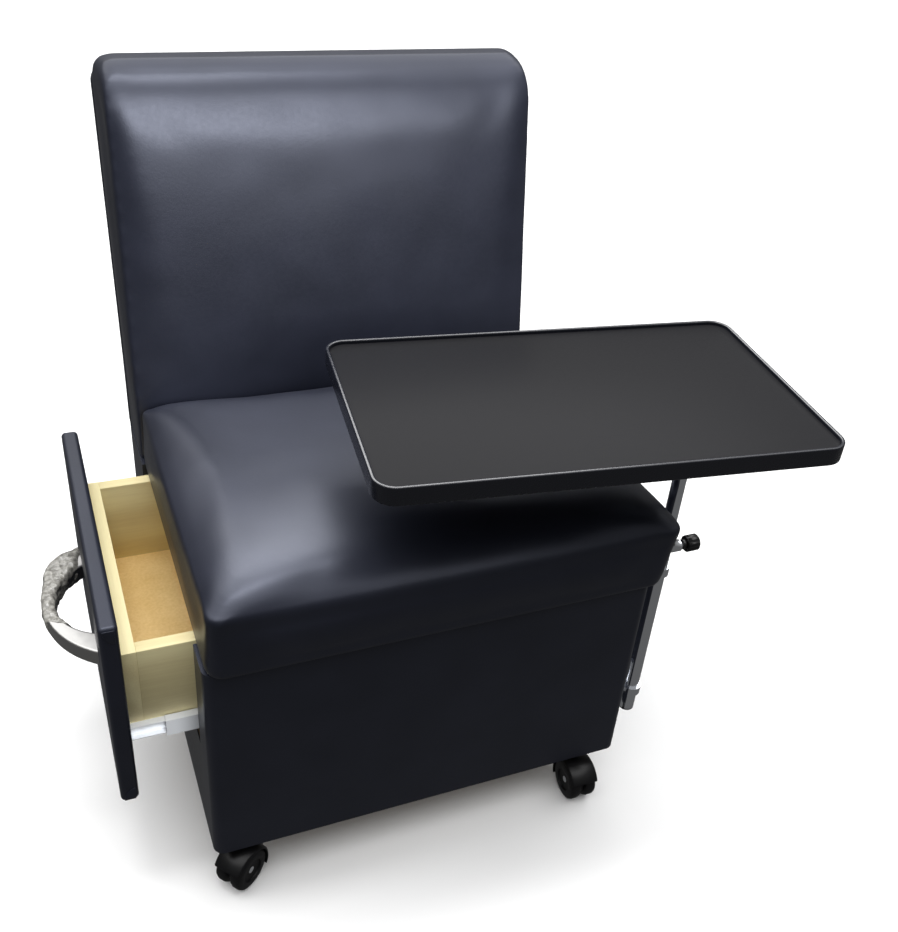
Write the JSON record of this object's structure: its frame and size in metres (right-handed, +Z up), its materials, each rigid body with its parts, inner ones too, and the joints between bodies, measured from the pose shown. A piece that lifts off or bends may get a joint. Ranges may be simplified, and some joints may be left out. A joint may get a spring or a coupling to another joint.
{
  "type": "manicure chair",
  "caption": "Padded manicure chair on a covered box base with casters, a side drawer on telescopic slides, and a tray on a column that lifts and swings.",
  "frame": {"origin": "on the floor under the middle of the chair's whole box, drawer and tray as at rest", "axes": "+Z up, the chair faces -Y, +X to the tray's side"},
  "size_m": [0.7804, 0.6287, 0.783],
  "materials": {
    "navy_vinyl": "satin",
    "padded_vinyl": "satin",
    "carcass_board": "matte",
    "drawer_pine": "satin",
    "zinc_steel": "satin",
    "chrome": "polished",
    "handle_metal": "satin",
    "tray_laminate": "satin",
    "tray_edging": "gloss",
    "black_plastic": "satin"
  },
  "bodies": {
    "base": {"base_front_board": "carcass_board", "base_rear_board": "carcass_board", "base_right_board": "carcass_board", "base_left_front_stile": "carcass_board", "base_left_rear_stile": "carcass_board", "base_left_lower_rail": "carcass_board", "base_bottom_board": "carcass_board", "runner_board_front": "carcass_board", "runner_board_rear": "carcass_board", "base_cover": "navy_vinyl", "seat_board": "carcass_board", "seat_cushion": "padded_vinyl", "back_stile_left": "carcass_board", "back_stile_right": "carcass_board", "back_lower_rail": "carcass_board", "back_top_rail": "carcass_board", "back_front_panel": "carcass_board", "back_rear_panel": "navy_vinyl", "back_cushion": "padded_vinyl", "cabinet_rail_front": "zinc_steel", "cabinet_rail_rear": "zinc_steel", "column_tube": "chrome", "column_brackets": "chrome", "column_bracket_screws": "zinc_steel", "column_foot_plug": "black_plastic", "caster_plates": "zinc_steel", "caster_screws": "zinc_steel"},
    "drawer": {"drawer_front_wall": "drawer_pine", "drawer_back_wall": "drawer_pine", "drawer_side_front": "drawer_pine", "drawer_side_rear": "drawer_pine", "drawer_bottom": "drawer_pine", "drawer_panel": "navy_vinyl", "drawer_handle": "handle_metal", "handle_screws": "zinc_steel", "drawer_rail_front": "zinc_steel", "drawer_rail_rear": "zinc_steel"},
    "slide_middles": {"middle_rail_front": "zinc_steel", "middle_rail_rear": "zinc_steel"},
    "mast": {"mast_tube": "chrome"},
    "tray": {"tray_board": "tray_laminate", "tray_edge_trim": "tray_edging", "tray_socket": "chrome", "tray_screws": "zinc_steel"},
    "clamp": {"clamp_knob": "black_plastic", "clamp_stud": "zinc_steel"},
    "caster_front_left": {"caster_front_left_housing": "black_plastic", "caster_front_left_axle": "zinc_steel"},
    "wheels_front_left": {"caster_front_left_wheels": "black_plastic"},
    "caster_front_right": {"caster_front_right_housing": "black_plastic", "caster_front_right_axle": "zinc_steel"},
    "wheels_front_right": {"caster_front_right_wheels": "black_plastic"},
    "caster_rear_left": {"caster_rear_left_housing": "black_plastic", "caster_rear_left_axle": "zinc_steel"},
    "wheels_rear_left": {"caster_rear_left_wheels": "black_plastic"},
    "caster_rear_right": {"caster_rear_right_housing": "black_plastic", "caster_rear_right_axle": "zinc_steel"},
    "wheels_rear_right": {"caster_rear_right_wheels": "black_plastic"}
  },
  "joints": [
    {"name": "drawer_slide", "type": "slide", "parent": "base", "child": "drawer", "axis": [-1, 0, 0], "range_m": [-0.068, 0.2315]},
    {"name": "slide_middle_travel", "type": "slide", "parent": "base", "child": "slide_middles", "axis": [-1, 0, 0], "range_m": [-0.034, 0.116]},
    {"name": "tray_lift", "type": "slide", "parent": "base", "child": "mast", "axis": [0, 0, 1], "range_m": [-0.06, 0.14]},
    {"name": "tray_swivel", "type": "hinge", "parent": "mast", "child": "tray", "pos_m": [0.283, -0.171, 0.54], "axis": [0, 0, 1], "range_deg": [-20, 180]},
    {"name": "clamp_turn", "type": "hinge", "parent": "base", "child": "clamp", "pos_m": [0.283, -0.171, 0.343], "axis": [1, 0, 0], "range_deg": [0, 360]},
    {"name": "swivel_front_left", "type": "hinge", "parent": "base", "child": "caster_front_left", "pos_m": [-0.208, -0.189, 0.061], "axis": [0, 0, 1], "continuous": true},
    {"name": "roll_front_left", "type": "hinge", "parent": "caster_front_left", "child": "wheels_front_left", "pos_m": [-0.22543, -0.20242, 0.025], "axis": [0.6101, -0.7923, 0], "continuous": true},
    {"name": "swivel_front_right", "type": "hinge", "parent": "base", "child": "caster_front_right", "pos_m": [0.198, -0.189, 0.061], "axis": [0, 0, 1], "continuous": true},
    {"name": "roll_front_right", "type": "hinge", "parent": "caster_front_right", "child": "wheels_front_right", "pos_m": [0.198, -0.211, 0.025], "axis": [1, 0, 0], "continuous": true},
    {"name": "swivel_rear_left", "type": "hinge", "parent": "base", "child": "caster_rear_left", "pos_m": [-0.208, 0.249, 0.061], "axis": [0, 0, 1], "continuous": true},
    {"name": "roll_rear_left", "type": "hinge", "parent": "caster_rear_left", "child": "wheels_rear_left", "pos_m": [-0.22666, 0.26066, 0.025], "axis": [-0.5299, -0.848, 0], "continuous": true},
    {"name": "swivel_rear_right", "type": "hinge", "parent": "base", "child": "caster_rear_right", "pos_m": [0.198, 0.249, 0.061], "axis": [0, 0, 1], "continuous": true},
    {"name": "roll_rear_right", "type": "hinge", "parent": "caster_rear_right", "child": "wheels_rear_right", "pos_m": [0.2181, 0.25795, 0.025], "axis": [-0.4067, 0.9135, 0], "continuous": true}
  ],
  "couplings": [
    {"joint": "slide_middle_travel", "follows": "drawer_slide", "ratio": 0.5}
  ]
}
